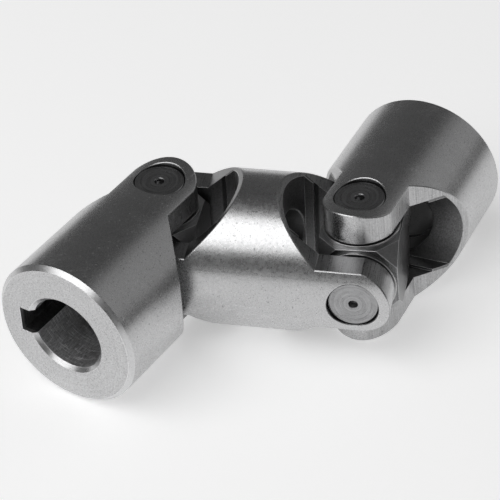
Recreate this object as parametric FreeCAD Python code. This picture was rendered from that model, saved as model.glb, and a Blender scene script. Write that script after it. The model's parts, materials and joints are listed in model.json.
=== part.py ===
import FreeCAD, Part
import math
import os

from FreeCAD import Matrix, Placement, Rotation, Vector

# A double universal joint with plain bearings, in the bent pose that it lies in.
# The middle yoke lies along X, the table is the plane Z = 0, and each end yoke is
# swung about its upright pin. Every yoke is drawn in its own fork frame first:
# X runs from the pivot into the yoke, Y across the ears and Z along the pin.

# Driving dimensions, in millimetres and degrees

# Turned bodies
body_diameter = 28.0
bore_diameter = 14.0
pivot_to_end = 30.0
pivot_spacing = 36.0
end_chamfer = 0.8
bore_chamfer = 0.7

# Relief at the inner end of each bore, where the tips of the other yoke's ears swing in
relief_depth = 0.35
relief_end = 16.5

# Keyway of the end bores
keyway_width = 5.0
keyway_depth = 2.3

# Ears of every fork
ear_width = 12.7
ear_end_extra = 0.15
shoulder_past_slot = 0.90362
shoulder_angle = 43.0
edge_break = 0.15

# Slot of every fork: its step lies a little deeper in the middle yoke
slot_step_depth = 9.3
middle_slot_step_depth = 10.1
slot_floor_radius = 13.9

# Pins
pin_diameter = 9.0
pin_recess = 1.0
pin_edge_chamfer = 0.2
ear_bore_chamfer = 0.15
centre_hole_diameter = 1.7
centre_hole_depth = 1.5
centre_hole_point_angle = 60.0
locking_pin_diameter = 3.0
locking_pin_length = 17.0

# Cross block and washers
block_width = 14.0
block_corner_cut = 3.5
washer_inset = 0.2
washer_thickness = 0.7

# Fits, each as a radial, side or end clearance
running_clearance = 0.04
press_interference = 0.01
washer_clearance = 0.10
washer_end_play = 0.30
block_side_clearance = 0.50
pin_meeting_clearance = 0.05
locking_hole_end_clearance = 0.5

# Pose: swing of each end yoke about its upright pin, and tilt of each cross
left_swing_angle = 68.1
right_swing_angle = 75.2
left_tilt_angle = 0.0
right_tilt_angle = -2.8

# How far a cutter runs past what it cuts, and how near a point is to count as on a surface
cutter_margin = 1.0
match_tolerance = 0.01
points_per_edge = 5

# Worked out from the values above
body_radius = body_diameter / 2
bore_radius = bore_diameter / 2
relief_radius = bore_radius + relief_depth
slot_width = block_width + 2 * (washer_thickness + washer_end_play)
inner_slot_width = block_width + 2 * block_side_clearance
ear_half = ear_width / 2
ear_end_radius = ear_half + ear_end_extra
shoulder_end = slot_floor_radius + shoulder_past_slot
shoulder_start = shoulder_end - (body_radius - ear_half) / math.tan(math.radians(shoulder_angle))
pin_radius = pin_diameter / 2
ear_bore_radius = pin_radius + running_clearance
block_half = block_width / 2
pin_end = body_radius - pin_recess
washer_diameter = block_width - 2 * washer_inset

X_AXIS = Vector(1, 0, 0)
Y_AXIS = Vector(0, 1, 0)
Z_AXIS = Vector(0, 0, 1)


def closed_face(edges):
    """A flat face bounded by the edges in order."""
    return Part.Face(Part.Wire(edges))


def segments(points):
    """Straight edges through the points, left open."""
    return [Part.makeLine(a, b) for a, b in zip(points, points[1:])]


def turned(profile):
    """Solid of revolution of a closed profile of points about the X axis."""
    face = closed_face(segments(profile + profile[:1]))
    return face.revolve(Vector(), X_AXIS, 360)


def fork_outline():
    """Side outline of a fork, seen along its pin, as a prism that the turned bar is kept inside."""
    reach = body_radius + cutter_margin
    far = max(pivot_to_end, pivot_spacing / 2) + cutter_margin
    slope_length = (reach - ear_half) / math.tan(math.radians(shoulder_angle))
    tangent = math.sqrt(ear_end_radius ** 2 - ear_half ** 2)
    half = [
        Vector(far, reach, 0),
        Vector(shoulder_start + slope_length, reach, 0),
        Vector(shoulder_start, ear_half, 0),
        Vector(-tangent, ear_half, 0),
    ]
    mirrored = [Vector(p.x, -p.y, 0) for p in reversed(half)]
    tip = Part.Arc(half[-1], Vector(-ear_end_radius, 0, 0), mirrored[0]).toShape()
    closing = Part.makeLine(mirrored[-1], half[0])
    outline = closed_face(segments(half) + [tip] + segments(mirrored) + [closing])
    outline.translate(Vector(0, 0, -reach))
    return outline.extrude(Vector(0, 0, 2 * reach))


def fork_slot(step_depth):
    """The space between the ears: a slot that steps in at the given depth, with a round floor."""
    reach = body_radius + cutter_margin
    wide = slot_width / 2
    narrow = inner_slot_width / 2
    floor_edge = math.sqrt(slot_floor_radius ** 2 - narrow ** 2)
    half = [
        Vector(-reach, 0, wide),
        Vector(step_depth, 0, wide),
        Vector(step_depth, 0, narrow),
        Vector(floor_edge, 0, narrow),
    ]
    mirrored = [Vector(p.x, 0, -p.z) for p in reversed(half)]
    floor = Part.Arc(half[-1], Vector(slot_floor_radius, 0, 0), mirrored[0]).toShape()
    closing = Part.makeLine(mirrored[-1], half[0])
    outline = closed_face(segments(half) + [floor] + segments(mirrored) + [closing])
    outline.translate(Vector(0, -reach, 0))
    return outline.extrude(Vector(0, 2 * reach, 0))


def break_edges(solid, wanted, size):
    """Chamfer the edges for which wanted(edge) holds."""
    edges = [edge for edge in solid.Edges if wanted(edge)]
    return solid.makeChamfer(size, edges) if edges else solid


def on_ear_bore_rim(edge):
    """True for the rim of an ear's bore on the outside of the ear."""
    for point in edge.discretize(points_per_edge):
        if abs(math.hypot(point.x, point.y) - ear_bore_radius) > match_tolerance:
            return False
        if abs(point.z) < slot_width / 2 + cutter_margin:
            return False
    return True


def on_outline(edge):
    """True for the edges of the ears and shoulders on the outside of the bar."""
    for point in edge.discretize(points_per_edge):
        if abs(math.hypot(point.y, point.z) - body_radius) > match_tolerance:
            return False
        if point.x > shoulder_end + match_tolerance:
            return False
    return True


def on_relief_mouth(edge):
    """True for the rim where the relief of the bore meets the round floor of the slot."""
    for point in edge.discretize(points_per_edge):
        if abs(math.hypot(point.y, point.z) - relief_radius) > match_tolerance:
            return False
        if abs(math.hypot(point.x, point.z) - slot_floor_radius) > match_tolerance:
            return False
    return True


def fork(bar, step_depth):
    """Cut a turned bar, in the fork frame, to a fork with its slot, bore and pin holes."""
    body = bar.common(fork_outline())
    body = body.cut(fork_slot(step_depth))
    body = break_edges(body, lambda edge: on_outline(edge) or on_relief_mouth(edge), edge_break)
    reach = body_radius + cutter_margin
    pin_hole = Part.makeCylinder(ear_bore_radius, 2 * reach, Vector(0, 0, -reach), Z_AXIS)
    body = body.cut(pin_hole)
    return break_edges(body, on_ear_bore_rim, ear_bore_chamfer)


def end_bar():
    """Turned bar of an end yoke, bored through and chamfered at its end face."""
    start = -body_radius
    return turned([
        Vector(start, relief_radius, 0),
        Vector(start, body_radius, 0),
        Vector(pivot_to_end - end_chamfer, body_radius, 0),
        Vector(pivot_to_end, body_radius - end_chamfer, 0),
        Vector(pivot_to_end, bore_radius + bore_chamfer, 0),
        Vector(pivot_to_end - bore_chamfer, bore_radius, 0),
        Vector(relief_end, bore_radius, 0),
        Vector(relief_end - relief_depth, relief_radius, 0),
    ])


def keyway(side):
    """Broach for the keyway, towards +Y or -Y of the fork frame."""
    depth = bore_radius + keyway_depth
    length = pivot_to_end + cutter_margin
    corner = Vector(0, 0 if side > 0 else -depth, -keyway_width / 2)
    return Part.makeBox(length, depth, keyway_width, corner)


def end_yoke(keyway_side):
    """End yoke in its fork frame."""
    return fork(end_bar().cut(keyway(keyway_side)), slot_step_depth)


def middle_half():
    """Half of the middle yoke in the fork frame of its pivot."""
    half_length = pivot_spacing / 2
    start = -body_radius
    bar = turned([
        Vector(start, relief_radius, 0),
        Vector(start, body_radius, 0),
        Vector(half_length, body_radius, 0),
        Vector(half_length, relief_radius, 0),
    ])
    return fork(bar, middle_slot_step_depth)


def block():
    """Cross block: a cube with its eight corners cut flat, bored for the pins."""
    cube = Part.makeBox(block_width, block_width, block_width,
                        Vector(-block_half, -block_half, -block_half))
    body = cube.common(octahedron(3 * block_half - block_corner_cut))
    bore = pin_radius - press_interference
    for axis in (Y_AXIS, Z_AXIS):
        start = axis * -block_width
        body = body.cut(Part.makeCylinder(bore, 2 * block_width, start, axis))
    return body


def octahedron(reach):
    """Regular octahedron with its points on the axes."""
    faces = []
    for x in (-reach, reach):
        for y in (-reach, reach):
            for z in (-reach, reach):
                points = [Vector(x, 0, 0), Vector(0, y, 0), Vector(0, 0, z)]
                faces.append(closed_face(segments(points + points[:1])))
    solid = Part.makeSolid(Part.makeShell(faces))
    if solid.Volume < 0:
        solid.reverse()
    return solid


def pin_half_profile():
    """Outer end of a pin: chamfered rim and centre hole, as points from the rim to the axis."""
    hole = centre_hole_diameter / 2
    point_depth = hole / math.tan(math.radians(centre_hole_point_angle))
    return [
        Vector(pin_end - pin_edge_chamfer, pin_radius, 0),
        Vector(pin_end, pin_radius - pin_edge_chamfer, 0),
        Vector(pin_end, hole, 0),
        Vector(pin_end - centre_hole_depth, hole, 0),
        Vector(pin_end - centre_hole_depth - point_depth, 0, 0),
    ]


def long_pin():
    """Pin that goes right through the block, along X, with a cross hole for the locking pin."""
    outer = pin_half_profile()
    inner = [Vector(-p.x, p.y, 0) for p in reversed(outer)]
    body = turned(inner + outer)
    hole = Part.makeCylinder(locking_pin_diameter / 2, pin_diameter + 2 * cutter_margin,
                             Vector(0, 0, -pin_radius - cutter_margin), Z_AXIS)
    return body.cut(hole)


def short_pin():
    """Pin from the long pin's side to the ear, along X, with a blind hole for the locking pin."""
    inner_end = pin_radius + pin_meeting_clearance
    hole = locking_pin_diameter / 2
    hole_end = locking_pin_length / 2 + locking_hole_end_clearance
    return turned(pin_half_profile() + [
        Vector(hole_end, 0, 0),
        Vector(hole_end, hole, 0),
        Vector(inner_end, hole, 0),
        Vector(inner_end, pin_radius, 0),
    ])


def locking_pin():
    """Thin pin along X that holds the two short pins to the long one."""
    start = Vector(-locking_pin_length / 2, 0, 0)
    return Part.makeCylinder(locking_pin_diameter / 2, locking_pin_length, start, X_AXIS)


def washer():
    """Thrust washer on the block's +X face."""
    inner = pin_radius + washer_clearance
    outer = washer_diameter / 2
    seat = block_half
    top = seat + washer_thickness
    return turned([
        Vector(seat, inner, 0),
        Vector(seat, outer, 0),
        Vector(top, outer, 0),
        Vector(top, inner, 0),
    ])


def frame(origin, x_axis, y_axis):
    """Placement that carries the X and Y axes of a piece's own frame onto the given ones."""
    z_axis = x_axis.cross(y_axis)
    matrix = Matrix(x_axis.x, y_axis.x, z_axis.x, origin.x,
                    x_axis.y, y_axis.y, z_axis.y, origin.y,
                    x_axis.z, y_axis.z, z_axis.z, origin.z,
                    0, 0, 0, 1)
    return Placement(matrix)


def moved(shape, placement):
    """Copy of the shape with the placement built in."""
    copy = shape.copy()
    copy.Placement = placement.multiply(copy.Placement)
    return copy


def middle_yoke():
    """Middle yoke along X, its pin holes along Y."""
    right = frame(Vector(pivot_spacing / 2, 0, 0), -X_AXIS, Z_AXIS)
    left = frame(Vector(-pivot_spacing / 2, 0, 0), X_AXIS, Z_AXIS)
    half = middle_half()
    return moved(half, right).fuse(moved(half, left)).removeSplitter()


def cross_frame(side, tilt):
    """Frame of a cross at its pivot: X outwards, Y along the long pin, Z along the short pins."""
    origin = Vector(side * pivot_spacing / 2, 0, 0)
    turn = Rotation(Y_AXIS, tilt)
    return Placement(origin, turn)


def cross_pieces(name, place):
    """The block, pins and washers of one cross, as node names and shapes."""
    front = frame(Vector(), -Y_AXIS, X_AXIS)
    back = frame(Vector(), Y_AXIS, -X_AXIS)
    top = frame(Vector(), Z_AXIS, X_AXIS)
    bottom = frame(Vector(), -Z_AXIS, X_AXIS)
    pieces = {
        "block_" + name: block(),
        "long_pin_" + name: moved(long_pin(), back),
        "short_pin_" + name + "_top": moved(short_pin(), top),
        "short_pin_" + name + "_bottom": moved(short_pin(), bottom),
        "locking_pin_" + name: moved(locking_pin(), top),
        "washer_" + name + "_front": moved(washer(), front),
        "washer_" + name + "_back": moved(washer(), back),
        "washer_" + name + "_top": moved(washer(), top),
        "washer_" + name + "_bottom": moved(washer(), bottom),
    }
    return {node: moved(shape, place) for node, shape in pieces.items()}


def swung(side, swing, cross):
    """Fork frame of an end yoke that is swung about the upright pin of its cross."""
    turn = cross.Rotation.multiply(Rotation(Z_AXIS, swing))
    outwards = turn.multVec(X_AXIS * side)
    pin = turn.multVec(Z_AXIS)
    return frame(cross.Base, outwards, pin.cross(outwards))


def build():
    """All nodes of the joint, by name, with the middle yoke's centre at the origin."""
    left = cross_frame(-1, left_tilt_angle)
    right = cross_frame(1, right_tilt_angle)
    nodes = {"middle_yoke": middle_yoke()}
    nodes.update(cross_pieces("left", left))
    nodes.update(cross_pieces("right", right))
    nodes["end_yoke_left"] = moved(end_yoke(-1), swung(-1, left_swing_angle, left))
    nodes["end_yoke_right"] = moved(end_yoke(1), swung(1, right_swing_angle, right))
    return nodes


def base_centre(shapes):
    """Centre of the underside of the box round all the shapes."""
    box = Part.makeCompound(shapes).optimalBoundingBox(False, False)
    return Vector(box.Center.x, box.Center.y, box.ZMin)


def main():
    """Write one file for each node, with the origin at the middle of the base."""
    nodes = build()
    origin = base_centre(list(nodes.values()))
    print("origin", round(origin.x, 4), round(origin.y, 4), round(origin.z, 4))
    os.makedirs("parts", exist_ok=True)
    for name, shape in nodes.items():
        shape.translate(-origin)
        solids = shape.Solids
        print(name, len(solids), round(shape.Volume, 3), shape.isValid())
        solids[0].exportStep("parts/" + name + ".step")


main()
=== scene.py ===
"""Looks of a double universal joint: ground steel yokes, cross blocks, pins and washers.

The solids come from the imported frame. This file gives them their finishes, adds the turned
faces of the pins, and sets the floor, the lights and the camera.
"""

import json
import math

import bpy
import numpy as np
from bpy.props import FloatProperty, FloatVectorProperty, PointerProperty
from bpy.types import Operator, Panel, PropertyGroup
from mathutils import Matrix, Vector


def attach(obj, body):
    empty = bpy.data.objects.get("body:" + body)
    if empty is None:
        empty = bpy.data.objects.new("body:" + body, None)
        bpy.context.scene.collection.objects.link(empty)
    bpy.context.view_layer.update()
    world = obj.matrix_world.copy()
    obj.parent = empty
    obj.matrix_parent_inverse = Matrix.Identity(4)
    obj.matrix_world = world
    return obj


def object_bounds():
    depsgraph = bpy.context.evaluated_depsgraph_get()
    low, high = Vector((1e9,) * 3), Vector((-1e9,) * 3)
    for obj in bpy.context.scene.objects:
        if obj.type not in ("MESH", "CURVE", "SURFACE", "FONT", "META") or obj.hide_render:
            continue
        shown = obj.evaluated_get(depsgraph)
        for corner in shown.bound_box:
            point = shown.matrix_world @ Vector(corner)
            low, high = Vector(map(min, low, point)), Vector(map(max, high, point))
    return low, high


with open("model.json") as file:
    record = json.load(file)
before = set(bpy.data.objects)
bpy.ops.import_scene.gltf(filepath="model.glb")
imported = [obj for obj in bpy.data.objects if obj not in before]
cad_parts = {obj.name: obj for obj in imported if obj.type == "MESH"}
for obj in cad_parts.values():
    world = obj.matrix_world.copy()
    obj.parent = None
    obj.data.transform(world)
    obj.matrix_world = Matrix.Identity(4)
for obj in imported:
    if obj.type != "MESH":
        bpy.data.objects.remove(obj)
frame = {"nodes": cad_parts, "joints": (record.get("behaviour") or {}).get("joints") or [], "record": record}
CAD_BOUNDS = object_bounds()

bl_info = {
    "name": "Double universal joint finish",
    "version": (1, 0, 0),
    "blender": (4, 5, 0),
    "location": "3D View > Sidebar > Universal joint",
    "description": "Steel finishes, turned faces and studio stage of a double universal joint",
    "category": "Object",
}

MM = 0.001
SIDES = ("left", "right")

# Sizes of the solids that the finishes and the pin faces follow, in millimetres
BAR_RADIUS = 14.0
BORE_RADIUS = 7.0
RELIEF_RADIUS = 7.35
RELIEF_END = 16.5
BORE_END = 29.3
END_CHAMFER_START = 29.2
SLOT_RADIUS = 13.9
SLOT_HALF = 8.0
MIDDLE_STEP_DEPTH = 10.1
PIN_HOLE_RADIUS = 4.54
PIN_RADIUS = 4.5
PIN_END = 13.0
PIN_EDGE = 0.2
CENTRE_HOLE_RADIUS = 0.85

# Painted shade on each yoke, in place of the shade and dark reflections that fall on these faces:
# how dark its milled ears and shoulders, slot floor, slot walls, and the bore at its inner and
# at its outer end are made beside its ground faces. Then how strong the bore's scuffs, the
# bar's cloudy gloss and its bright specks are.
PAINTED_SHADE_AND_MARKS = {
    "middle_yoke": {
        "milled": 0.60, "floor": 0.78, "walls": 0.34, "bore": (0.32, 0.32),
        "scuffs": 0.6, "mottle": 0.22, "specks": 0.15},
    "end_yoke_left": {
        "milled": 0.50, "floor": 0.42, "walls": 0.36, "bore": (0.26, 1.25),
        "scuffs": 1.5, "mottle": 0.10, "specks": 0.60},
    "end_yoke_right": {
        "milled": 0.84, "floor": 0.38, "walls": 0.42, "bore": (0.30, 0.40),
        "scuffs": 0.5, "mottle": 0.08, "specks": 0.12},
}

# Painted shade alike on all yokes, in the pin holes and in the corner at the middle yoke's slot step; a
# painted highlight on the end chamfers; and painted shade on a block's sides and upright corner cuts
PIN_HOLE_SHADE = 0.18
STEP_CORNER_SHADE = 0.30
CHAMFER_HIGHLIGHT = 1.15
BLOCK_SIDE_SHADE = 0.52

# Painted highlight along the edges, standing for the light that their small breaks catch: its
# strength inside a yoke, what is left of it on the yoke's ground outside, and a block's edge
# width beside a yoke's
INSIDE_EDGE_HIGHLIGHT = 0.9
OUTSIDE_EDGE = 0.35
BLOCK_EDGE = 1.6

# How far from the size of a face its mask starts and is full, in millimetres
MASK_EDGES = {
    "outside": (-0.12, -0.02), "chamfer": (-0.04, 0.04), "pin_hole": (0.10, 0.02),
    "slot_wall": (0.06, 0.02), "slot_round": (0.08, 0.03),
    "step_floor": (-1.0, -0.7), "step_wall": (-0.4, -0.3),
}

# How far the dark of a bore reaches past its radius, in millimetres: of the middle yoke's
# hole, and of an end yoke's relief and bore
HOLE_REACH = 0.12
RELIEF_REACH = 0.06
BORE_REACH = 0.05

# Where a normal's part along one axis makes a face flat, a wall, level or a sloped cut: not at
# all at the first number, and fully at the second
FLAT_FACE = (0.90, 0.97)
WALL_FACE = (0.85, 0.95)
LEVEL_FACE = (0.80, 0.90)
SLOPED_FACE = (0.30, 0.50)

# Cosine of the turn of the rounded normal where the painted highlight along an edge starts and is full
EDGE_TURN = (0.995, 0.92)

# Scale of each pattern's noise: waves to a millimetre, and for pits and dimples to a pit's
# width. Then the noise values at which a pit, a speck, a tool line or a score starts to show
# and is full.
CLOUD_SCALE = 0.16
MOTTLE_SCALE = 1.5
SPECK_SCALE = 2.5
PIT_SCALE = 1.15
DIMPLE_SCALE = 0.45
PITS = (0.65, 0.75)
SPECKS = (0.75, 0.80)
TOOL_LINES = (0.56, 0.64)
SCORES = (0.60, 0.66)

# Hair scratches: the noise's size along X, Y and Z in millimetres, how much they slant, how
# thin they are, and the part of the clouds that they lie in
HAIR_SIZES = (3.0, 1.1, 1.4)
HAIR_SLANT = 0.5
HAIR_WIDTH = 0.010
HAIR_CLOUDS = (0.02, 0.12)

# Strength of the hair scratches, the specks and the tool lines, among a yoke's marks, and of
# the scores among a block's
HAIR_SHARE = 0.45
SPECK_SHARE = 0.35
TOOL_LINE_SHARE = 0.4
SCORE_SHARE = 0.5

# Speckle from the fine grain: on the bar, and what slot, end face and milled faces add
SPECKLE = {"bar": 0.40, "slot": 0.7, "end_face": 0.7, "milled": 0.4}

# How deep the dimples are on each kind of face
DIMPLES = {"milled": 0.6, "bar": 1.6, "turned": 0.2, "block_sides": 0.5, "block_level": 1.2}

# What each pattern changes on a steel: its share of the shade, of the roughness and of the
# height of the bump, in mark depths
YOKE_EFFECTS = {
    "marks": (1.0, 0.25, 1.8),
    "clouds": (0.16, 0.06, 0.0),
    "grain": (0.0, 0.12, 0.35),
    "speckle": (1.0, 0.0, 0.0),
    "pits": (-0.42, 0.15, -1.2),
    # edge: a painted highlight along the edges
    "edge": (1.0, 0.0, 0.0),
    "specks": (0.0, 0.15, 0.0),
    "mottle": (0.0, 1.0, 0.0),
    "inside": (0.0, 0.12, 0.0),
    "milled": (0.0, 0.03, 0.0),
    "chamfers": (0.0, 0.02, 0.0),
    "rolling": (0.0, 0.0, 1.0),
}
TURNED_EFFECTS = {
    "marks": (1.0, 0.15, 2.0),
    "clouds": (0.35, 0.0, 0.0),
    "grain": (0.40, 0.10, 0.0),
    "pits": (-0.25, 0.10, -0.8),
    # edge: a painted highlight along the edges
    "edge": (0.9, 0.0, 0.0),
    "rolling": (0.0, 0.0, 0.8),
}
BLOCK_EFFECTS = {
    "marks": (1.0, 0.10, 1.6),
    "clouds": (0.35, 0.15, 0.0),
    "grain": (0.45, 0.10, 0.0),
    "pits": (-0.30, 0.0, -1.0),
    # edge: a painted highlight along the edges
    "edge": (0.9, 0.0, 0.0),
    "rolling": (0.0, 0.0, 1.0),
}

# Turned pieces: how strong the rings on their flat faces and the lines round their sides are,
# and the broad rings beside the fine ones
TURNED_MARKS = {"pin": (0.45, 0.20), "pin_face": (1.10, 0.20), "washer": (0.20, 0.15)}
BROAD_RINGS = 0.8

# Roughness that pins and washers, and blocks, have over the yokes'
PIN_DULLNESS = 0.02
BLOCK_DULLNESS = 0.03

# Pin faces, in millimetres: rings and steps of the grid, and how far each skin stands off its
# solid, more on the upright pins, whose solids lie a little too deep. Then the lip round the
# centre hole, the distance of the grid's rings beside a sharp edge, how deep the skin goes
# into the hole and down the rim, and the share of the face over which the grooves fade. Each
# groove is its pitch, its share of the depth and its start.
FACE_RINGS = 84
FACE_SEGMENTS = 96
FACE_LIFT = {"upright": 0.22, "across": 0.012}
FACE_LIP = 0.10
FACE_CRISP = 0.02
FACE_HOLE_DEPTH = 0.45
FACE_RIM_DEPTH = 0.30
FACE_FADE = 1 / 12
FACE_GROOVES = ((0.46, 1.0, 0.0), (0.71, 0.8, 1.7), (1.9, 1.6, 0.6))

# Floor: its gap under the joint, and the radii where its pool of painted glow is still even and
# where it has faded, in metres. Then how bright the glowing pool is at the two, how much the
# floor glows, a painted light that lights the steel from below, and how dull it is and how
# little it shines.
FLOOR_GAP = 0.00002
POOL_RADII = (0.12, 0.70)
POOL_GLOW = (1.0, 0.15)
FLOOR_GLOW = 0.42
FLOOR_ROUGHNESS = 0.9
FLOOR_SHINE = 0.1

# Each light: name, place in metres from the middle of the joint, size and brightness
LIGHTS = (
    ("overhead_softbox", (-0.36, -0.39, 0.76), (1.00, 0.76), 2.1),
    ("right_softbox", (0.68, 0.36, 0.50), (0.75, 0.75), 0.25),
)

# The sky's greys: how far up a direction points, from 0 level to 1 overhead, and its grey
SKY_STOPS = ((0.0, 0.12), (0.85, 0.08))

# How far the camera's target is moved to the camera's right and up, and what the camera sees
# between, in metres, and the width of its sensor in millimetres
TARGET_SHIFT = (-0.002407, -0.000268)
CAMERA_CLIP = (0.01, 50.0)
SENSOR_WIDTH = 36.0


def mount_axis(name):
    """Unit vector of a bore mount, from the joint outwards."""
    for mount in frame["record"]["mounts"]:
        if mount["name"] == name:
            return Vector(mount["axis"]).normalized()
    raise ValueError("the record has no mount named " + name)


def own_frame(origin, x_axis, z_axis):
    """Matrix of a piece's own frame from its origin, its X axis and roughly its Z axis."""
    x = Vector(x_axis).normalized()
    y = Vector(z_axis).cross(x).normalized()
    z = x.cross(y)
    turn = Matrix((x, y, z)).transposed().to_4x4()
    return Matrix.Translation(Vector(origin)) @ turn


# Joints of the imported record, by name: their pivots and axes place every pattern
JOINTS = {joint["name"]: joint for joint in frame["joints"]}
PIVOTS = {side: Vector(JOINTS["swing_" + side]["pos_m"]) for side in SIDES}
UPRIGHT_PINS = {side: Vector(JOINTS["swing_" + side]["axis"]) for side in SIDES}
MIDDLE = (PIVOTS["left"] + PIVOTS["right"]) / 2
ACROSS = Vector((0, 1, 0))

# Own frame of each yoke: X along the bore and Z along its own pin holes
YOKE_FRAMES = {"middle_yoke": own_frame(MIDDLE, (1, 0, 0), ACROSS)}

# Own frame of each pin and its washers: X along the pin
CROSS_FRAMES = {}

for side in SIDES:
    YOKE_FRAMES["end_yoke_" + side] = own_frame(
        PIVOTS[side], mount_axis("bore_" + side), UPRIGHT_PINS[side])
    CROSS_FRAMES["upright_" + side] = own_frame(PIVOTS[side], UPRIGHT_PINS[side], ACROSS)
    CROSS_FRAMES["across_" + side] = own_frame(PIVOTS[side], ACROSS, UPRIGHT_PINS[side])


class JointSteelSettings(PropertyGroup):
    """Colours and surface of the steel pieces."""

    yoke_colour: FloatVectorProperty(
        name="Yoke colour", description="Ground steel of the three yokes",
        subtype="COLOR", size=3, min=0, max=1, default=(0.55, 0.55, 0.555))
    block_colour: FloatVectorProperty(
        name="Block colour", description="Steel of the two cross blocks",
        subtype="COLOR", size=3, min=0, max=1, default=(0.40, 0.40, 0.405))
    pin_colour: FloatVectorProperty(
        name="Pin colour", description="Turned ends of the pins",
        subtype="COLOR", size=3, min=0, max=1, default=(0.33, 0.33, 0.335))
    washer_colour: FloatVectorProperty(
        name="Washer colour", description="Hardened thrust washers",
        subtype="COLOR", size=3, min=0, max=1, default=(0.42, 0.42, 0.42))
    mark_width: FloatProperty(
        name="Mark width", description="Width of one tool mark on the yokes",
        unit="LENGTH", min=0.00002, max=0.002, default=0.00018)
    mark_depth: FloatProperty(
        name="Mark depth", description="Depth of the tool marks",
        unit="LENGTH", min=0, max=0.0001, default=0.000004)
    pit_width: FloatProperty(
        name="Pit width", description="Width of the small pits and grains",
        unit="LENGTH", min=0.00005, max=0.002, default=0.00028)
    # Also the width of the painted highlight along each edge
    edge_width: FloatProperty(
        name="Edge width", description="Width of the polished line along each edge",
        unit="LENGTH", min=0, max=0.001, default=0.00012)
    groove_depth: FloatProperty(
        name="Groove depth", description="Depth of the facing grooves on the pins' ends",
        unit="LENGTH", min=0, max=0.0001, default=0.000009)
    roughness: FloatProperty(
        name="Roughness", description="Base roughness of the ground steel",
        subtype="FACTOR", min=0, max=1, default=0.28)


class JointStageSettings(PropertyGroup):
    """Floor and camera."""

    floor_colour: FloatVectorProperty(
        name="Floor colour", description="Pale matt floor",
        subtype="COLOR", size=3, min=0, max=1, default=(0.93, 0.93, 0.93))
    floor_size: FloatProperty(
        name="Floor size", description="Side of the square floor",
        unit="LENGTH", min=0.5, max=20, default=6.0)
    camera_azimuth: FloatProperty(
        name="Camera azimuth", description="Turn of the camera round the joint",
        subtype="ANGLE", default=0.22451792556698505)
    camera_elevation: FloatProperty(
        name="Camera elevation", description="Height angle of the camera over the floor",
        subtype="ANGLE", default=0.6751905013805604)
    camera_roll: FloatProperty(
        name="Camera roll", description="Roll of the camera about its view line",
        subtype="ANGLE", default=-0.05678696834837811)
    camera_distance: FloatProperty(
        name="Camera distance", description="From the middle of the joint to the camera",
        unit="LENGTH", min=0.05, max=10, default=0.38067)
    camera_lens: FloatProperty(
        name="Lens", description="Focal length on the camera's sensor, in millimetres",
        min=10, max=1000, default=154.66)


def steel_settings():
    """The steel's settings of the open scene."""
    return bpy.context.scene.joint_steel


def stage_settings():
    """The stage's settings of the open scene."""
    return bpy.context.scene.joint_stage


class Finish:
    """Builds one material's nodes with short calls."""

    def __init__(self, name):
        self.material = bpy.data.materials.new(name)
        self.material.use_nodes = True
        self.tree = self.material.node_tree
        self.tree.nodes.clear()

    def node(self, kind, **settings):
        """A new shader node of a kind, with its own settings."""
        made = self.tree.nodes.new("ShaderNode" + kind)
        for key, value in settings.items():
            setattr(made, key, value)
        return made

    def feed(self, socket, value):
        """Link a socket to another one, or set its own value."""
        if isinstance(value, bpy.types.NodeSocket):
            self.tree.links.new(value, socket)
        else:
            socket.default_value = value

    def fed(self, made, *values):
        """The node, with its first inputs fed by the values."""
        for socket, value in zip(made.inputs, values):
            self.feed(socket, value)
        return made

    def sum(self, operation, *values):
        """A Math node over one or two values, or a chain of such nodes over more."""
        made = self.fed(self.node("Math", operation=operation), *values[:2]).outputs[0]
        return self.sum(operation, made, *values[2:]) if values[2:] else made

    def scaled(self, vector, factor):
        """A vector or a colour times a number."""
        made = self.node("VectorMath", operation="SCALE")
        self.feed(made.inputs[0], vector)
        self.feed(made.inputs["Scale"], factor)
        return made.outputs[0]

    def parts(self, vector):
        """The three numbers of a vector."""
        return self.fed(self.node("SeparateXYZ"), vector).outputs

    def joined(self, x, y, z):
        """The vector of three numbers."""
        return self.fed(self.node("CombineXYZ"), x, y, z).outputs[0]

    def spread(self, value, low, high, new_low=0.0, new_high=1.0, smooth=False):
        """Map a value from one range to another, held at both ends."""
        made = self.node("MapRange", interpolation_type="SMOOTHSTEP" if smooth else "LINEAR")
        made.clamp = True
        for key, number in (("Value", value), ("From Min", low), ("From Max", high),
                            ("To Min", new_low), ("To Max", new_high)):
            self.feed(made.inputs[key], number)
        return made.outputs[0]

    def noise(self, vector, scale, detail=2.0, roughness=0.5):
        """Noise in space, round about 0.5."""
        made = self.node("TexNoise", noise_dimensions="3D")
        for key, value in (("Vector", vector), ("Scale", scale), ("Detail", detail),
                           ("Roughness", roughness)):
            self.feed(made.inputs[key], value)
        return made.outputs[0]

    def mix(self, share, low, high):
        """Blend two numbers by a share from 0 to 1."""
        made = self.node("Mix", data_type="FLOAT")
        self.feed(made.inputs[0], share)
        self.feed(made.inputs[2], low)
        self.feed(made.inputs[3], high)
        return made.outputs[0]

    def far_from_axis(self, a, b):
        """Square root of a squared plus b squared."""
        squares = self.sum("ADD", self.sum("MULTIPLY", a, a), self.sum("MULTIPLY", b, b))
        return self.sum("SQRT", squares)

    def close(self, shader):
        """The finished material, with its shader on the output."""
        self.fed(self.node("OutputMaterial"), shader.outputs[0])
        return self.material


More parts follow.
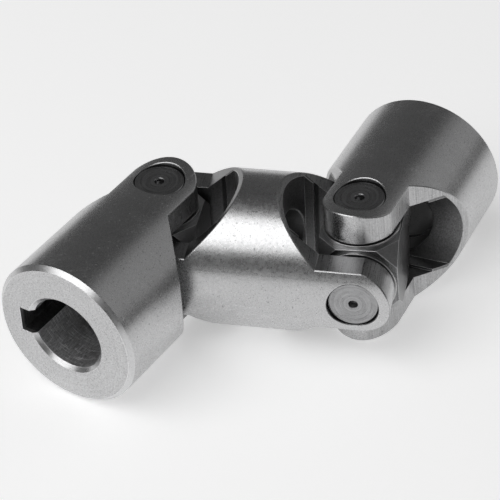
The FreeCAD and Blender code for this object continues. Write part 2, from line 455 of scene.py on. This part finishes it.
class Surface(Finish):
    """A steel surface with its place, in millimetres, and its normal in the piece's own frame."""

    def __init__(self, name, own):
        super().__init__(name)
        coordinates = self.node("TexCoord")
        self.place = self.scaled(self.seen_from(own, coordinates.outputs["Object"]), 1 / MM)
        self.x, self.y, self.z = self.parts(self.place)
        self.normal = self.parts(
            self.seen_from(own, coordinates.outputs["Normal"], turn_only=True))
        self.distance = self.far_from_axis(self.y, self.z)

    def seen_from(self, own, vector, turn_only=False):
        """The vector seen from a piece's own frame, by a Mapping node."""
        mapping = self.node("Mapping", vector_type="TEXTURE")
        if not turn_only:
            mapping.inputs["Location"].default_value = own.translation
        mapping.inputs["Rotation"].default_value = own.to_euler("XYZ")
        self.feed(mapping.inputs["Vector"], vector)
        return mapping.outputs[0]

    def along(self, axis, limits):
        """How fully the normal points along an axis, either way, by one of the face limits."""
        return self.spread(self.sum("ABSOLUTE", self.normal[axis]), *limits)

    def past(self, value, size, face):
        """Where a value passes the size of a face, from the start of its mask to its full."""
        start, full = MASK_EDGES[face]
        return self.spread(value, size + start, size + full)

    def centred(self, value, share=1.0):
        """A noise value moved to run about zero, times a share."""
        return self.sum("MULTIPLY", self.sum("SUBTRACT", value, 0.5), share)

    def streaks(self, x, y, z, sizes):
        """Noise drawn out into lines: each coordinate is divided by the noise's size along it."""
        scaled = [self.sum("MULTIPLY", value, 1 / size)
                  for value, size in zip((x, y, z), sizes)]
        return self.noise(self.joined(*scaled), 1.0, detail=3.0, roughness=0.62)

    def rounded_edges(self, width):
        """Rounded normal, and how much an edge turns it, from 0 on flats to 1 on an edge."""
        bevel = self.node("Bevel", samples=6)
        bevel.inputs["Radius"].default_value = width
        turned = self.fed(self.node("VectorMath", operation="DOT_PRODUCT"),
                          bevel.outputs[0], self.node("NewGeometry").outputs["Normal"])
        return bevel.outputs[0], self.spread(turned.outputs["Value"], *EDGE_TURN, smooth=True)

    def grain(self):
        """Fine grain, small dark pits, dimples and broad clouds, alike on every steel."""
        per_pit = MM / steel_settings().pit_width
        fine = self.centred(self.noise(self.place, per_pit, roughness=0.7))
        pits = self.spread(self.noise(self.place, PIT_SCALE * per_pit, detail=1.0),
                           *PITS, smooth=True)
        dimples = self.noise(self.place, DIMPLE_SCALE * per_pit, roughness=0.55)
        clouds = self.centred(self.noise(self.place, CLOUD_SCALE, detail=3.0, roughness=0.6))
        return fine, pits, dimples, clouds

    def hair_scratches(self, clouds):
        """Thin wandering lines: a stretched noise crosses its middle, in some clouds only."""
        slanted = self.sum("ADD", self.y, self.sum("MULTIPLY", self.x, HAIR_SLANT))
        wandering = self.centred(self.streaks(self.x, slanted, self.z, HAIR_SIZES))
        line = self.spread(self.sum("ABSOLUTE", wandering), HAIR_WIDTH, 0.0)
        return self.sum("MULTIPLY", line, self.spread(clouds, *HAIR_CLOUDS, smooth=True))

    def effects(self, table, patterns, base):
        """Shade, roughness and height: each one's base plus all patterns times their shares."""
        sums = list(base)
        for name, shares in table.items():
            for place, share in enumerate(shares):
                if share:
                    part = self.sum("MULTIPLY", patterns[name], share)
                    sums[place] = self.sum("ADD", sums[place], part)
        return sums

    def metal(self, colour, shade, roughness, height, normal):
        """The finished metal: the colour times the shade, and the bump on the rounded normal."""
        bump = self.node("Bump")
        bump.inputs["Distance"].default_value = steel_settings().mark_depth
        bump.inputs["Strength"].default_value = 1.0
        self.feed(bump.inputs["Height"], height)
        self.feed(bump.inputs["Normal"], normal)
        shader = self.node("BsdfPrincipled")
        shader.inputs["Metallic"].default_value = 1.0
        self.feed(shader.inputs["Base Color"], self.scaled(colour, shade))
        self.feed(shader.inputs["Roughness"], roughness)
        self.feed(shader.inputs["Normal"], bump.outputs[0])
        return self.close(shader)


def yoke_steel(name, own, pivot_at, shade_and_marks):
    """Steel of a yoke.

    The bar's outside is ground: grain, pits, cloudy gloss, specks, hair scratches and faint
    lines round it. Its end face and the chamfers there are turned, with rings, and the chamfers
    get a painted highlight. Ears and shoulders are milled, with streaks along the pin, and get
    painted shade. The slot, the pin holes and the bore are dull and get painted shade, darker
    in the corner at the middle yoke's step, and in an end yoke the bore's painted shade
    lightens towards its outer end. Every edge gets a painted highlight, strongest inside.
    pivot_at is the pivot's place along X, on both sides of the middle for the middle yoke and
    zero for an end yoke. shade_and_marks is the yoke's entry in the table of painted shade and
    marks.
    """
    s = steel_settings()
    f = Surface(name, own)

    # Which face of the yoke a point lies on, each from 0 to 1
    outside = f.past(f.distance, BAR_RADIUS, "outside")
    end_face = f.along(0, FLAT_FACE)
    off_middle = f.sum("ABSOLUTE", f.z)
    if pivot_at:
        fork_x = f.sum("SUBTRACT", pivot_at, f.sum("ABSOLUTE", f.x))
        chamfers = 0.0
        bore_edge = RELIEF_RADIUS + HOLE_REACH
        bore_shade = shade_and_marks["bore"][0]
        # Painted shade in the corner at the step of the middle yoke's slot
        step_corner = f.sum("MULTIPLY", f.past(fork_x, MIDDLE_STEP_DEPTH, "step_floor"),
                            f.past(off_middle, SLOT_HALF, "step_wall"))
        corner_shade = f.mix(step_corner, 1.0, STEP_CORNER_SHADE)
    else:
        fork_x = f.x
        chamfers = f.sum("SUBTRACT", f.past(f.x, END_CHAMFER_START, "chamfer"), end_face)
        bore_edge = f.spread(f.x, RELIEF_END - 0.3, RELIEF_END + 0.1,
                             RELIEF_RADIUS + RELIEF_REACH, BORE_RADIUS + BORE_REACH)
        # Painted shade in the bore, darkest inside and lightening towards the outer end
        bore_shade = f.spread(f.x, RELIEF_END - 3, BORE_END - 4, *shade_and_marks["bore"], smooth=True)
        corner_shade = 1.0
    turned = f.sum("MAXIMUM", end_face, chamfers)
    ground = f.sum("MAXIMUM", outside, turned)
    in_slot = f.sum("MULTIPLY", f.past(off_middle, SLOT_HALF, "slot_wall"),
                    f.past(f.far_from_axis(fork_x, f.z), SLOT_RADIUS, "slot_round"))
    in_bore = f.sum("LESS_THAN", f.distance, bore_edge)
    in_hole = f.past(f.far_from_axis(fork_x, f.y), PIN_HOLE_RADIUS, "pin_hole")
    inside = f.sum("MAXIMUM", in_slot, in_bore, in_hole)
    milled = f.sum("MULTIPLY", f.sum("SUBTRACT", 1.0, ground), f.sum("SUBTRACT", 1.0, inside))

    # Painted shade on the slot, pin holes, bore and milled faces, and a painted highlight on the chamfers
    slot_shade = f.mix(f.along(2, WALL_FACE), shade_and_marks["floor"], shade_and_marks["walls"])
    slot_shade = f.sum("MULTIPLY", slot_shade, corner_shade)
    painted_shade_and_highlight = f.sum("MULTIPLY", *[
        f.mix(mask, 1.0, shade)
        for mask, shade in ((in_slot, slot_shade), (in_bore, bore_shade),
                            (in_hole, PIN_HOLE_SHADE), (milled, shade_and_marks["milled"]),
                            (chamfers, CHAMFER_HIGHLIGHT))])

    # Tool marks: the sizes of each noise along X, Y and Z, its strength and its face. They are
    # lines round the bar, rings, streaks of the mill, cuts in the slot and scuffs in the bore.
    width = s.mark_width / MM
    marks = [
        f.sum("MULTIPLY", f.centred(f.streaks(first, f.y, f.z, sizes), share), mask)
        for first, sizes, share, mask in (
            (f.x, (1.6 * width, 7.0, 7.0), 0.10, outside),
            (f.distance, (2.2 * width, 9.0, 9.0), 0.30, turned),
            (f.x, (1.4 * width, 1.4 * width, 6.0), 1.0, milled),
            (f.x, (1.8 * width, 6.0, 1.8 * width), 0.35, in_slot),
            (f.x, (0.9, width, width), shade_and_marks["scuffs"], in_bore))]
    tool_lines = f.spread(f.streaks(f.x, f.y, f.z, (width, 2.5, 2.5)), *TOOL_LINES)
    fine, pits, dimples, clouds = f.grain()
    hair = f.hair_scratches(clouds)
    specks = f.spread(f.noise(f.place, SPECK_SCALE, detail=0.0), *SPECKS)
    specks = f.sum("MULTIPLY", specks, shade_and_marks["specks"], outside)
    marks = f.sum("ADD", *marks, f.sum("MULTIPLY", specks, SPECK_SHARE),
                  f.sum("MULTIPLY", hair, HAIR_SHARE, outside),
                  f.sum("MULTIPLY", tool_lines, shade_and_marks["scuffs"] * TOOL_LINE_SHARE, in_bore))

    speckle = f.sum("ADD", SPECKLE["bar"], *[
        f.sum("MULTIPLY", mask, SPECKLE[face])
        for face, mask in (("slot", in_slot), ("end_face", end_face), ("milled", milled))])
    mottle = f.centred(f.noise(f.place, MOTTLE_SCALE, roughness=0.7), shade_and_marks["mottle"])
    dimpled = f.mix(turned, DIMPLES["bar"], DIMPLES["turned"])
    dimpled = f.mix(ground, DIMPLES["milled"], dimpled)
    normal, edge = f.rounded_edges(s.edge_width)
    patterns = {
        "marks": marks, "clouds": clouds, "grain": fine, "pits": pits, "specks": specks,
        "speckle": f.sum("MULTIPLY", fine, speckle),
        # Painted highlight along the edges, weaker on the ground outside
        "edge": f.sum("MULTIPLY", edge, f.mix(outside, 1.0, OUTSIDE_EDGE)),
        "mottle": f.sum("MULTIPLY", mottle, outside),
        "inside": inside, "milled": milled, "chamfers": chamfers,
        "rolling": f.sum("MULTIPLY", dimples, dimpled),
    }
    shade, rough, height = f.effects(YOKE_EFFECTS, patterns, (1.0, s.roughness, 0.0))
    # Painted shade and chamfer highlight over the patterns, then a painted highlight along the edges inside
    shade = f.sum("ADD", f.sum("MULTIPLY", shade, painted_shade_and_highlight),
                  f.sum("MULTIPLY", edge, inside, INSIDE_EDGE_HIGHLIGHT))
    return f.metal(s.yoke_colour, shade, rough, height, normal)


def turned_steel(name, own, colour, roughness, ring_share, line_share):
    """Steel of a turned piece: rings of two widths on its flat faces and lines round its sides."""
    s = steel_settings()
    f = Surface(name, own)
    width = s.mark_width / MM
    fine_rings = f.streaks(f.distance, f.y, f.z, (1.5 * width, 8.0, 8.0))
    broad_rings = f.streaks(f.distance, f.y, f.z, (5.0 * width, 5.0, 5.0))
    lines = f.streaks(f.x, f.y, f.z, (width, 5.0, 5.0))
    rings = f.sum("ADD", f.centred(fine_rings, ring_share),
                  f.centred(broad_rings, ring_share * BROAD_RINGS))
    fine, pits, dimples, clouds = f.grain()
    normal, edge = f.rounded_edges(s.edge_width)
    patterns = {
        "marks": f.mix(f.along(0, FLAT_FACE), f.centred(lines, line_share), rings),
        "clouds": clouds, "grain": fine, "pits": pits, "edge": edge, "rolling": dimples,
    }
    shade, rough, height = f.effects(TURNED_EFFECTS, patterns, (1.0, roughness, 0.0))
    return f.metal(colour, shade, rough, height, normal)


def block_steel(name, own):
    """Steel of a cross block: ground flats with a painted highlight along their edges, and painted shade on
    its sides and upright corner cuts.

    Its top and bottom are scratched along the fork, and its sides up and down, with a few
    bright scores on the open sides.
    """
    s = steel_settings()
    f = Surface(name, own)
    width = s.mark_width / MM
    flat_or_cut = f.along(2, SLOPED_FACE)
    flat_marks = f.streaks(f.x, f.y, f.z, (1.5 * width, 5.0, 1.5 * width))
    side_marks = f.streaks(f.x, f.y, f.z, (1.5 * width, 1.5 * width, 12.0))
    scores = f.spread(f.streaks(f.x, f.y, f.z, (1.2 * width, 1.2 * width, 14.0)), *SCORES)
    scores = f.sum("MULTIPLY", scores, SCORE_SHARE, f.along(1, WALL_FACE))
    sides = f.sum("ADD", f.centred(side_marks, 0.45), scores)
    fine, pits, dimples, clouds = f.grain()
    normal, edge = f.rounded_edges(s.edge_width * BLOCK_EDGE)
    dimpled = f.mix(f.along(2, LEVEL_FACE), DIMPLES["block_sides"], DIMPLES["block_level"])
    patterns = {
        "marks": f.mix(flat_or_cut, sides, f.centred(flat_marks, 0.5)),
        "clouds": clouds, "grain": fine, "pits": pits, "edge": edge,
        "rolling": f.sum("MULTIPLY", dimples, dimpled),
    }
    # Painted shade on the sides and upright corner cuts, whose normals lie across the upright pin
    base = (f.mix(flat_or_cut, BLOCK_SIDE_SHADE, 1.0), s.roughness + BLOCK_DULLNESS, 0.0)
    shade, rough, height = f.effects(BLOCK_EFFECTS, patterns, base)
    return f.metal(s.block_colour, shade, rough, height, normal)


def add_mesh(name, points, faces):
    """A new object with a mesh of the points, at the origin of the scene."""
    mesh = bpy.data.meshes.new(name)
    mesh.from_pydata(points.tolist(), [], faces.tolist())
    made = bpy.data.objects.new(name, mesh)
    bpy.context.scene.collection.objects.link(made)
    return made


def pin_face(name, own, side, lift, material):
    """Turned face of a pin's end, as a ring-shaped skin just over the solid's end.

    A profile from the centre hole to the pin's rim is carried round the pin. Point (t, a) of
    the grid lies at radius r(t) and angle a. Its height is the end of the pin plus three
    facing grooves of different pitch, each the pitch's depth times the cosine of
    two pi r / pitch less a, so that a groove is one spiral, as a lathe tool leaves it. The
    grooves fade out at the hole and the rim, where the profile dips into the solid.
    """
    t = np.linspace(0.0, 1.0, FACE_RINGS)
    lip = CENTRE_HOLE_RADIUS + FACE_LIP
    rim = PIN_RADIUS - PIN_EDGE
    outer = PIN_RADIUS - FACE_CRISP / 2
    low = lift - PIN_EDGE
    radius = np.concatenate((
        [CENTRE_HOLE_RADIUS - FACE_CRISP, CENTRE_HOLE_RADIUS - FACE_CRISP / 2, lip - FACE_CRISP],
        lip + (rim - lip) * t, [rim + FACE_CRISP, outer - FACE_CRISP, outer, outer]))
    base = np.concatenate((
        [-FACE_HOLE_DEPTH, lift - FACE_LIP, lift - FACE_CRISP], np.full(FACE_RINGS, lift),
        [lift - FACE_CRISP, low + FACE_CRISP, low - FACE_CRISP, -FACE_RIM_DEPTH]))
    fade = np.clip(np.minimum(t, 1 - t) / FACE_FADE, 0, 1)
    fade = np.concatenate(([0.0] * 3, fade, [0.0] * 4))
    angle = np.linspace(0.0, 2 * np.pi, FACE_SEGMENTS, endpoint=False)
    r, a = np.meshgrid(radius, angle, indexing="ij")
    groove = np.zeros_like(r)
    for pitch, depth, phase in FACE_GROOVES:
        groove += depth * np.cos(2 * np.pi * r / pitch - a + phase)
    groove *= fade[:, None] * steel_settings().groove_depth / MM
    height = PIN_END + base[:, None] + groove
    points = np.stack((side * height, r * np.cos(a), r * np.sin(a)), axis=-1).reshape(-1, 3)
    points = points * MM @ np.array(own.to_3x3()).T + np.array(own.translation)

    ring, step = np.meshgrid(np.arange(len(radius) - 1), np.arange(FACE_SEGMENTS), indexing="ij")
    inner, following = ring * FACE_SEGMENTS, (step + 1) % FACE_SEGMENTS
    outward = inner + FACE_SEGMENTS
    quads = np.stack((inner + step, outward + step, outward + following, inner + following),
                     axis=-1).reshape(-1, 4)
    if side < 0:
        quads = quads[:, ::-1]
    made = add_mesh(name, points, quads)
    made.data.polygons.foreach_set("use_smooth", np.ones(len(quads), dtype=bool))
    made.data.materials.append(material)
    made.data.update()
    return made


def dress(node, material):
    """Give one solid of the frame its finish."""
    mesh = frame["nodes"][node].data
    mesh.materials.clear()
    mesh.materials.append(material)


class JOINT_OT_yokes(Operator):
    """Ground steel on the middle yoke and both end yokes"""

    bl_idname = "joint.yokes"
    bl_label = "Finish the yokes"

    def execute(self, context):
        half_spacing = (PIVOTS["right"] - PIVOTS["left"]).length / 2 / MM
        for name, own in YOKE_FRAMES.items():
            pivot_at = half_spacing if name == "middle_yoke" else 0.0
            dress(name, yoke_steel(name + "_steel", own, pivot_at, PAINTED_SHADE_AND_MARKS[name]))
        return {"FINISHED"}


class JOINT_OT_blocks(Operator):
    """Darker steel on the two cross blocks"""

    bl_idname = "joint.blocks"
    bl_label = "Finish the blocks"

    def execute(self, context):
        for side in SIDES:
            own = CROSS_FRAMES["across_" + side]
            dress("block_" + side, block_steel("block_steel_" + side, own))
        return {"FINISHED"}


class JOINT_OT_pins(Operator):
    """Turned steel on the long, short and locking pins"""

    bl_idname = "joint.pins"
    bl_label = "Finish the pins"

    def execute(self, context):
        s = steel_settings()
        for side in SIDES:
            for way, kind, nodes in (
                    ("upright", "upright_pin_steel_",
                     ("short_pin_%s_top", "short_pin_%s_bottom", "locking_pin_%s")),
                    ("across", "long_pin_steel_", ("long_pin_%s",))):
                steel = turned_steel(kind + side, CROSS_FRAMES[way + "_" + side], s.pin_colour,
                                     s.roughness + PIN_DULLNESS, *TURNED_MARKS["pin"])
                for node in nodes:
                    dress(node % side, steel)
        return {"FINISHED"}


class JOINT_OT_pin_faces(Operator):
    """Turned faces on the eight pin ends that show in the ears"""

    bl_idname = "joint.pin_faces"
    bl_label = "Turn the pin faces"

    def execute(self, context):
        s = steel_settings()
        for side in SIDES:
            for way, places in (("upright", ("bottom", "top")), ("across", ("front", "back"))):
                own = CROSS_FRAMES[way + "_" + side]
                steel = turned_steel("pin_face_steel_%s_%s" % (way, side), own, s.pin_colour,
                                     s.roughness, *TURNED_MARKS["pin_face"])
                for place, sign in zip(places, (-1, 1)):
                    made = pin_face("pin_face_%s_%s" % (side, place), own, sign,
                                    FACE_LIFT[way], steel)
                    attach(made, "cross_" + side)
        return {"FINISHED"}


class JOINT_OT_washers(Operator):
    """Hardened steel on the eight thrust washers"""

    bl_idname = "joint.washers"
    bl_label = "Finish the washers"

    def execute(self, context):
        s = steel_settings()
        for side in SIDES:
            for way, places in (("upright", ("top", "bottom")), ("across", ("front", "back"))):
                steel = turned_steel("%s_washer_steel_%s" % (way, side),
                                     CROSS_FRAMES[way + "_" + side], s.washer_colour,
                                     s.roughness + PIN_DULLNESS, *TURNED_MARKS["washer"])
                for place in places:
                    dress("washer_%s_%s" % (side, place), steel)
        return {"FINISHED"}


class JOINT_OT_stage(Operator):
    """Pale floor, soft lights and the camera"""

    bl_idname = "joint.stage"
    bl_label = "Set the stage"

    def execute(self, context):
        lay_floor()
        set_lights()
        set_camera()
        return {"FINISHED"}


def lay_floor():
    """A flat square floor: a grid of two by two corners at height zero, just under the joint. It glows, most
    in a pool round the joint: painted light that lights the steel from below.
    """
    s = stage_settings()
    half = s.floor_size / 2
    low = CAD_BOUNDS[0].z - FLOOR_GAP
    corners = np.array([(-half, -half, low), (half, -half, low), (half, half, low),
                        (-half, half, low)])
    floor = add_mesh("floor", corners, np.array([(0, 1, 2, 3)]))
    f = Finish("pale_glowing_floor")
    shader = f.node("BsdfPrincipled")
    shader.inputs["Base Color"].default_value = (*s.floor_colour, 1)
    shader.inputs["Roughness"].default_value = FLOOR_ROUGHNESS
    shader.inputs["Specular IOR Level"].default_value = FLOOR_SHINE
    x, y, _ = f.parts(f.node("TexCoord").outputs["Object"])
    # Painted light: the floor glows, most in a pool round the joint
    glow = f.spread(f.far_from_axis(x, y), *POOL_RADII, *POOL_GLOW, smooth=True)
    f.feed(shader.inputs["Emission Color"], f.joined(glow, glow, glow))
    shader.inputs["Emission Strength"].default_value = FLOOR_GLOW
    floor.data.materials.append(f.close(shader))


def set_lights():
    """Soft boxes round the joint, and a dim sky, a little darker overhead than at its foot."""
    for name, place, size, brightness in LIGHTS:
        lamp = bpy.data.lights.new(name, "AREA")
        lamp.shape = "RECTANGLE"
        lamp.size, lamp.size_y = size
        lamp.energy = brightness * math.pi * size[0] * size[1]
        holder = bpy.data.objects.new(name, lamp)
        bpy.context.scene.collection.objects.link(holder)
        holder.location = MIDDLE + Vector(place)
        holder.rotation_mode = "QUATERNION"
        holder.rotation_quaternion = Vector(place).to_track_quat("Z", "Y")
    world = bpy.data.worlds.new("studio")
    bpy.context.scene.world = world
    world.use_nodes = True
    tree = world.node_tree
    tree.nodes.clear()
    direction = tree.nodes.new("ShaderNodeTexCoord")
    split = tree.nodes.new("ShaderNodeSeparateXYZ")
    ramp = tree.nodes.new("ShaderNodeValToRGB")
    for stop, (position, grey) in zip(ramp.color_ramp.elements, SKY_STOPS):
        stop.position = position
        stop.color = (grey, grey, grey, 1)
    sky = tree.nodes.new("ShaderNodeBackground")
    output = tree.nodes.new("ShaderNodeOutputWorld")
    for start, end in ((direction.outputs["Generated"], split.inputs[0]),
                       (split.outputs[2], ramp.inputs[0]),
                       (ramp.outputs[0], sky.inputs[0]), (sky.outputs[0], output.inputs[0])):
        tree.links.new(start, end)


def set_camera():
    """The camera looks at the middle of the joint from its azimuth, elevation and roll."""
    s = stage_settings()
    azimuth, elevation = s.camera_azimuth, s.camera_elevation
    back = Vector((math.sin(azimuth) * math.cos(elevation),
                   -math.cos(azimuth) * math.cos(elevation), math.sin(elevation)))
    level = (-back).cross(Vector((0, 0, 1))).normalized()
    upward = level.cross(-back)
    c, n = math.cos(s.camera_roll), math.sin(s.camera_roll)
    right = c * level + n * upward
    up = -n * level + c * upward
    place = MIDDLE + TARGET_SHIFT[0] * right + TARGET_SHIFT[1] * up + s.camera_distance * back
    data = bpy.data.cameras.new("photo_camera")
    data.sensor_width = SENSOR_WIDTH
    data.lens = s.camera_lens
    data.clip_start, data.clip_end = CAMERA_CLIP
    camera = bpy.data.objects.new("photo_camera", data)
    bpy.context.scene.collection.objects.link(camera)
    turn = Matrix((right, up, back)).transposed().to_4x4()
    camera.matrix_world = Matrix.Translation(place) @ turn
    bpy.context.scene.camera = camera
    bpy.context.scene.view_settings.view_transform = "Standard"


class JOINT_PT_finish(Panel):
    """Lists the pieces and their settings"""

    bl_idname = "JOINT_PT_finish"
    bl_label = "Universal joint"
    bl_space_type = "VIEW_3D"
    bl_region_type = "UI"
    bl_category = "Universal joint"

    def draw(self, context):
        for settings in (context.scene.joint_steel, context.scene.joint_stage):
            box = self.layout.box()
            for key in settings.__annotations__:
                box.prop(settings, key)
        for operator in OPERATORS:
            self.layout.operator(operator.bl_idname)


OPERATORS = (JOINT_OT_stage, JOINT_OT_yokes, JOINT_OT_blocks, JOINT_OT_pins,
             JOINT_OT_pin_faces, JOINT_OT_washers)
CLASSES = (JointSteelSettings, JointStageSettings, *OPERATORS, JOINT_PT_finish)


def register():
    """Make the classes and their settings known to Blender."""
    for made in CLASSES:
        bpy.utils.register_class(made)
    bpy.types.Scene.joint_steel = PointerProperty(type=JointSteelSettings)
    bpy.types.Scene.joint_stage = PointerProperty(type=JointStageSettings)


def unregister():
    """Take the settings and the classes away again."""
    del bpy.types.Scene.joint_stage
    del bpy.types.Scene.joint_steel
    for made in reversed(CLASSES):
        bpy.utils.unregister_class(made)


def main():
    """Make every piece in order."""
    register()
    for operator in (bpy.ops.joint.stage, bpy.ops.joint.yokes, bpy.ops.joint.blocks,
                     bpy.ops.joint.pins, bpy.ops.joint.pin_faces, bpy.ops.joint.washers):
        operator()


if __name__ == "__main__":
    main()
